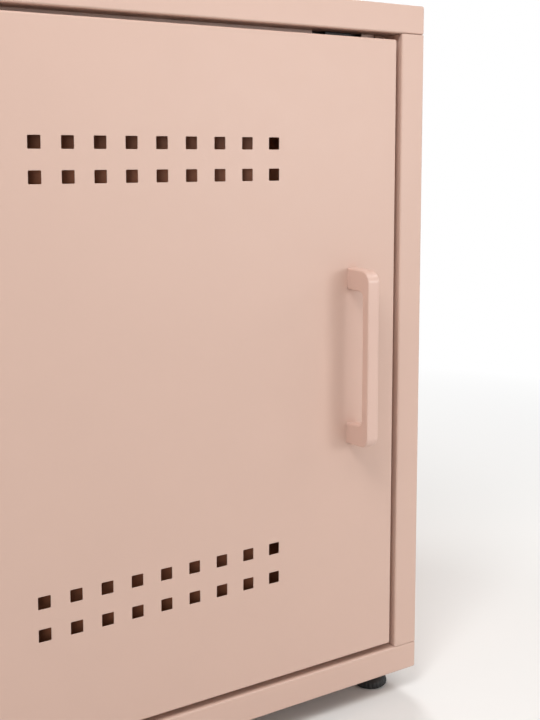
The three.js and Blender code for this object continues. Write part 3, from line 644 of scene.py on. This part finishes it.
# Radius of the shank, length, radius of the head, depth of the head, and pitch, in millimetres.
m4_pan = pan_screw(2, 9, 4, 2.2, 0.7)
m5_pan = pan_screw(2.5, 11, 4.8, 2.6, 0.8)
m4_flat = flat_screw(2, 9, 4, 2.2, 0.7)
for end in ("front", "rear"):
    for side in ("left", "right"):
        stand_in("_turned", f"cap_bolt_{end}_{side}", m5_pan, Z, "casing")
        stand_in("_turned", f"base_bolt_{end}_{side}", m5_pan, -Z, "casing")
for level in ("lower", "upper"):
    for side in ("left", "right"):
        stand_in("_turned", f"back_screw_{level}_{side}", m4_flat, -Y, "casing")
    stand_in("_turned", f"handle_screw_{level}", m4_pan, -Y, "door")
for side in ("left", "right"):
    stand_in("_turned", f"catch_screw_{side}", m4_pan, Z, "casing")

# ---------- levelling feet ----------
GRIPS = 24  # finger grips round a foot's rim
# Each level of a foot is its radius, its height and the depth of its grips, in millimetres.
FOOT_LEVELS = (
    (12.6, 0, 0), (13.4, 0.2, 0), (13.6, 0.9, 0), (14.1, 1.1, 0), (14.8, 1.5, 0.3), (15.0, 2.1, 0.8),
    (15.0, 4.2, 0.8), (14.7, 4.9, 0.5), (14.0, 5.7, 0.1), (12.4, 7.3, 0), (10.6, 8.4, 0), (8.8, 9.1, 0),
    (7.6, 9.7, 0), (7.0, 10.6, 0),
)
FOOT_SIDES = 192
BOSS = 7  # mm from the boss's middle to a corner
NUT = 7.5  # mm from the nut's middle to a corner
NUT_HEIGHT = 6.5
NUT_CHAMFER = 1.73  # how fast the chamfer widens with height
NUT_SIDES = 96
STEM_SHARP = 30  # degrees


def foot_mesh():
    """A moulded foot: a glide, a rim with finger grips, and a hexagonal boss for a spanner."""

    def gripped(radius, grip):
        return lambda angle: (radius - grip * (0.5 + 0.5 * math.cos(GRIPS * angle)) ** 3) * MM

    rings = [around(gripped(radius, grip), z * MM, FOOT_SIDES) for radius, z, grip in FOOT_LEVELS]
    for limit, z in ((6.6, 10.9), (6.95, 11.2), (6.95, 14.6), (6.5, 15)):
        rings.append(around(hexagon(BOSS * MM, limit * MM), z * MM, FOOT_SIDES))
    build = bmesh.new()
    loft(build, rings)
    return as_mesh("foot", build)


def nut_mesh():
    """A chamfered hexagon nut that stands on z = 0, with a plain bore."""
    rings = []
    for z in (0, 0.2, 0.4, 0.65, 5.85, 6.1, 6.3, NUT_HEIGHT):
        limit = 6.4 + min(z, NUT_HEIGHT - z) * NUT_CHAMFER
        rings.append(around(hexagon(NUT * MM, limit * MM), z * MM, NUT_SIDES))
    rings += turn_rings(((4.9, NUT_HEIGHT), (4.3, 6.0), (4.3, 0.5), (4.9, 0)), NUT_SIDES)
    build = bmesh.new()
    loft(build, rings, hollow=True)
    return as_mesh("nut", build)


def stem_mesh():
    """An M8 stem whose thread starts at the top of the foot's boss."""
    build = bmesh.new()
    rings = thread_rings(4, 1.25, 14.8, 38.2, SCREW_SIDES, 8)
    loft(build, rings + turn_rings([(3.2, 38.5), (2.6, 39)], SCREW_SIDES))
    return as_mesh("stem", build)


foot, nut, stem = foot_mesh(), nut_mesh(), stem_mesh()
for end in ("front", "rear"):
    for side in ("left", "right"):
        corner = f"{end}_{side}"
        node = f"levelling_foot_{corner}"
        stand_in("_moulded", node, foot, Z, f"foot_{corner}")
        place = middle(node)
        threaded = place_mesh(stem, (place.x, place.y, 0), Z)
        threaded.set_sharp_from_angle(angle=math.radians(STEM_SHARP))
        add_piece(f"levelling_stem_{corner}", threaded, "zinc_plate", f"foot_{corner}")
        stand_in("_chamfered", f"foot_nut_{corner}", nut, Z, "casing")

# ---------- hinge ----------
COLLAR_INSET = 3.9  # mm from the door's end to the near face of a pin's collar
TAIL_DROP = 52  # mm from the door's top to the release pin's tail
bush = turned(
    "bush",
    [
        (3.5, -6), (4.6, -6), (4.8, -5.7), (4.8, 0.3), (6.7, 0.3), (7, 0.6),
        (7, 4.8), (6.6, 5.2), (3.7, 5.2), (3.3, 4.8), (3.3, -5.8),
    ],
    64,
    hollow=True,
)
stand_in("_turned", "hinge_bush_lower", bush, Z, "casing")
stand_in("_turned", "hinge_bush_upper", bush, -Z, "casing")

door_bottom, door_top = door_low.z / MM, door_high.z / MM
lower_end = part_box("hinge_pin_lower")[0].z / MM
upper_low, upper_high = (corner.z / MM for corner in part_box("hinge_pin_upper"))
collar = door_bottom + COLLAR_INSET
lower_pin = turned(
    "lower_pin",
    [
        (1.2, lower_end), (2.1, lower_end + 0.15), (2.7, lower_end + 0.5), (3, lower_end + 1.1),
        (3, collar), (4.4, collar), (4.6, collar + 0.2), (4.6, collar + 2.8), (4.4, collar + 3),
        (3, collar + 3), (3, door_bottom + 23.6), (2.7, door_bottom + 24.1),
    ],
)
stand_in("_turned", "hinge_pin_lower", lower_pin, Z, "door")
collar = door_top - COLLAR_INSET
upper_pin = turned(
    "upper_pin",
    [
        (2.7, upper_low), (3, upper_low + 0.3), (3, collar - 2.5), (4.4, collar - 2.5),
        (4.6, collar - 2.3), (4.6, collar - 0.2), (4.4, collar), (3, collar),
        (3, upper_high - 1.1), (2.7, upper_high - 0.5), (2.1, upper_high - 0.15), (1.2, upper_high),
    ],
)
tail_level = door_top - TAIL_DROP
tail_end = (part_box("hinge_pin_upper")[1].y - pin_middle.y) / MM
tail_profile = [
    (2.4, 0), (2.4, tail_end - 1), (2.2, tail_end - 0.4), (1.7, tail_end - 0.1), (0.8, tail_end),
]
tail_build = bmesh.new()
loft(tail_build, turn_rings(tail_profile, SCREW_SIDES))
towards_back = Matrix.Rotation(math.radians(-90), 4, "X")
tail_build.transform(Matrix.Translation((0, 0, tail_level * MM)) @ towards_back)
upper_pin = carved(upper_pin, tail_build, "UNION")
pin_axis = (pin_middle.x, pin_middle.y, 0)
stand_in("_turned", "hinge_pin_upper", upper_pin, Z, "release_pin", pin_axis)

spring_low, spring_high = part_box("hinge_spring")


def coil_spring():
    """A compression spring with a closed turn at each end."""
    wire, wire_sides = 0.6 * MM, 12  # the wire's radius and the sides of its section
    radius = (spring_high.x - spring_low.x) / 2 - wire
    bottom, top = spring_low.z + wire, spring_high.z - wire
    total, dead, steps = 9, 1, 32  # turns, closed turns at each end, and steps in a turn
    rise = 2.1 * wire  # of a closed turn
    rings = []
    for k in range(total * steps + 1):
        turns = k / steps
        active = min(max(turns - dead, 0), total - 2 * dead) / (total - 2 * dead)
        closed = min(turns, dead) + max(turns - (total - dead), 0)
        z = bottom + closed * rise + active * (top - bottom - 2 * dead * rise)
        angle = 2 * math.pi * turns
        outward = Vector((math.cos(angle), math.sin(angle), 0))
        centre = Vector((pin_middle.x, pin_middle.y, z)) + outward * radius
        ring = []
        for q in range(wire_sides):
            turn = 2 * math.pi * q / wire_sides
            ring.append(centre + outward * (wire * math.cos(turn)) + Z * (wire * math.sin(turn)))
        rings.append(ring)
    build = bmesh.new()
    loft(build, rings)
    return as_mesh("hinge_spring_coil", build)


spring_piece = add_piece("hinge_spring_coil", coil_spring(), "spring_steel", "door", "hinge_spring")
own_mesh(spring_piece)

# ---------- bumpers, plugs and rivet ----------
bumper = turned(
    "bumper",
    [
        (3.8, 0), (4, 0.2), (4, 1.7), (3.85, 2.1), (3.3, 2.6), (2.8, 2.95), (2.1, 3.2), (1.3, 3.34),
        (0.5, 3.4),
    ],
)
plug = turned(
    "plug",
    [
        (0.5, -0.8), (4.4, -0.8), (4.8, -1.1), (5.2, -1.2), (6.4, -1.2), (7, -1), (7.3, -0.6),
        (7.3, -0.1), (7.2, 0), (5.5, 0), (5.4, 1.0), (5.7, 1.3), (5.6, 1.6), (5.0, 2.3), (4.2, 2.4),
        (4.0, 2.4), (0.5, 2.4),
    ],
    64,
)
RIVET_HEADS = 1.35  # mm, the height of both heads together
rivet_low, rivet_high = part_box("strike_rivet")
rivet_grip = (rivet_high.y - rivet_low.y) / MM - RIVET_HEADS
rivet_mesh = turned(
    "rivet",
    [
        (0.4, -0.35), (1.3, -0.31), (2.1, -0.18), (2.6, 0), (1.6, 0.1), (1.6, rivet_grip),
        (2.7, rivet_grip + 0.1), (2.8, rivet_grip + 0.3), (2.6, rivet_grip + 0.85),
        (2.2, rivet_grip + 1), (0.4, rivet_grip + 1),
    ],
)
for level in ("lower", "upper"):
    stand_in("_domed", f"door_bumper_{level}", bumper, -Y, "casing")
    stand_in("_moulded", f"access_plug_{level}", plug, -Y, "door")
stand_in("_domed", "strike_rivet", rivet_mesh, -Y, "door")
fasteners = (m4_pan, m5_pan, m4_flat, nut, stem, rivet_mesh)
for source in (*fasteners, foot, bush, lower_pin, upper_pin, bumper, plug):
    bpy.data.meshes.remove(source)

# ---------- camera ----------
CAMERA_PLACE = (-0.336, -0.8696, 0.4755)
TURN = math.radians(32.04)  # to the right of straight ahead
TILT = math.radians(-5.87)  # above level
camera = bpy.data.cameras.new("camera")
camera.lens = 52.0
camera.shift_y = -0.135
camera.clip_start = 0.01
camera_object = bpy.data.objects.new("camera", camera)
camera_object.location = CAMERA_PLACE
camera_object.rotation_euler = (math.pi / 2 + TILT, 0, -TURN)
scene.collection.objects.link(camera_object)
scene.camera = camera_object


# ---------- floor, light and view ----------
FLOOR_HALF = 40
FADE_NEAR, FADE_FAR = 0.45, 1.5  # from the object's middle


def stage_floor():
    """A pale matt floor that the camera sees fade into an even white away from the object."""
    mesh = bpy.data.meshes.new("floor")
    corners = [(x * FLOOR_HALF, y * FLOOR_HALF, 0) for x, y in ((-1, -1), (1, -1), (1, 1), (-1, 1))]
    mesh.from_pydata(corners, [], [(0, 1, 2, 3)])
    floor = bpy.data.objects.new("floor", mesh)
    scene.collection.objects.link(floor)
    s = Surface("studio_floor", (0.8, 0.785, 0.765), 0.8)
    length = s.tree.nodes.new("ShaderNodeVectorMath")
    length.operation = "LENGTH"
    s.link(s.place, length.inputs[0])
    glow = s.tree.nodes.new("ShaderNodeEmission")
    blend = s.tree.nodes.new("ShaderNodeMixShader")
    fade = s.between(length.outputs["Value"], 0, 1, FADE_NEAR, FADE_FAR)
    seen = s.tree.nodes.new("ShaderNodeMath")
    seen.operation = "MULTIPLY"
    s.link(fade, seen.inputs[0])
    s.link(s.tree.nodes.new("ShaderNodeLightPath").outputs["Is Camera Ray"], seen.inputs[1])
    s.link(seen.outputs["Value"], blend.inputs["Fac"])
    s.link(s.shader.outputs["BSDF"], blend.inputs[1])
    s.link(glow.outputs["Emission"], blend.inputs[2])
    s.link(blend.outputs["Shader"], s.tree.nodes["Material Output"].inputs["Surface"])
    mesh.materials.append(s.material)


def studio_dome(strength):
    """Even soft light from all round, in front of a white background."""
    world = bpy.data.worlds.new("studio")
    scene.world = world
    world.use_nodes = True
    tree = world.node_tree
    fill = tree.nodes["Background"]
    fill.inputs["Color"].default_value = (1, 1, 1, 1)
    fill.inputs["Strength"].default_value = strength
    white = tree.nodes.new("ShaderNodeBackground")
    white.inputs["Color"].default_value = (1, 1, 1, 1)
    seen = tree.nodes.new("ShaderNodeLightPath").outputs["Is Camera Ray"]
    blend = tree.nodes.new("ShaderNodeMixShader")
    tree.links.new(seen, blend.inputs["Fac"])
    tree.links.new(fill.outputs["Background"], blend.inputs[1])
    tree.links.new(white.outputs["Background"], blend.inputs[2])
    tree.links.new(blend.outputs["Shader"], tree.nodes["World Output"].inputs["Surface"])


def softbox(name, turn, rise, distance, size, power):
    """A square soft light aimed at the handle, turned right from straight ahead and raised above level,
    in degrees, metres and watts."""
    turn, rise = math.radians(turn), math.radians(rise)
    toward = Vector((math.sin(turn) * math.cos(rise), -math.cos(turn) * math.cos(rise), math.sin(rise)))
    light = bpy.data.lights.new(name, "AREA")
    light.size = size
    light.energy = power
    lamp = bpy.data.objects.new(name, light)
    lamp.location = handle_middle + toward * distance
    lamp.rotation_euler = toward.to_track_quat("Z", "Y").to_euler()
    scene.collection.objects.link(lamp)


stage_floor()
studio_dome(0.25)
for name, turn, rise, distance, size, power in (
    ("softbox_left_high", -50, 50, 1.5, 0.45, 9.2),
    ("softbox_left", -60, 35, 1.5, 0.5, 2.4),
    ("softbox_overhead", 0, 55, 1.4, 0.6, 3.9),
    ("softbox_right_high", 62, 49, 1.5, 0.2, 1.4),
    ("softbox_right", 32, 8, 1.5, 0.4, 4.4),
    ("softbox_right_side", 75, 20, 1.2, 0.5, 2.0),
    ("softbox_front", 20, 15, 1.1, 0.35, 0.9),
    ("softbox_rear_right", 150, 35, 1.8, 0.6, 14.0),
    ("softbox_rear_left", -140, 40, 1.9, 0.6, 8.0),
):
    softbox(name, turn, rise, distance, size, power)
scene.view_settings.view_transform = "Standard"
